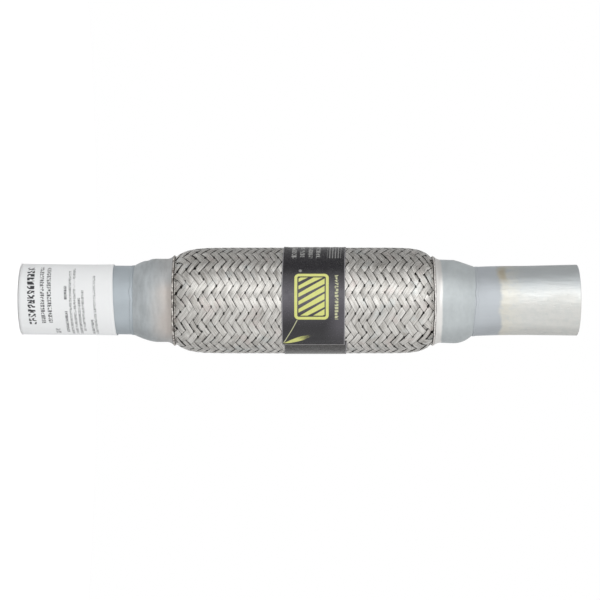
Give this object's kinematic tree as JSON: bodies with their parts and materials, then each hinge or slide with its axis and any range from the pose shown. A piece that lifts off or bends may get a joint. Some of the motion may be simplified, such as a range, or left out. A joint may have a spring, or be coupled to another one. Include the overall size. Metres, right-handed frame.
{
  "type": "exhaust flex pipe",
  "caption": "Weld-in exhaust flex pipe: a braided bellows between two pressed steel necks, with a plain tube stub at each end.",
  "frame": {"origin": "centre of the inlet stub's end face, on which the pipe stands", "axes": "+Z along the pipe's axis from the inlet to the outlet; -Y faces the side that the picture shows"},
  "size_m": [0.0616, 0.0616, 0.32],
  "materials": {
    "tube_steel": "drawn steel tube, bare and lightly scratched, grey-blue and matte towards the necks",
    "neck_steel": "pressed sheet, matte grey-blue with a heat tint towards the rims",
    "weld_metal": "as-laid weld bead, speckled",
    "braid_wire": "stainless wire strands, each of fine parallel wires",
    "bellows_steel": "thin stainless sheet",
    "liner_steel": "strip-wound stainless sleeve",
    "label_film": "glossy printed film, near black",
    "label_paper": "white self-adhesive paper"
  },
  "bodies": {
    "root": {"inlet_stub": "tube_steel", "paper_label": "label_paper", "inlet_stub_weld": "weld_metal", "inlet_neck": "neck_steel", "inlet_rim_weld": "weld_metal", "inlet_clamp_ring": "bellows_steel", "outer_braid": "braid_wire", "bellows": "bellows_steel", "liner": "liner_steel", "band_label": "label_film", "outlet_clamp_ring": "bellows_steel", "outlet_rim_weld": "weld_metal", "outlet_neck": "neck_steel", "outlet_stub_weld": "weld_metal", "outlet_stub": "tube_steel"}
  },
  "joints": []
}
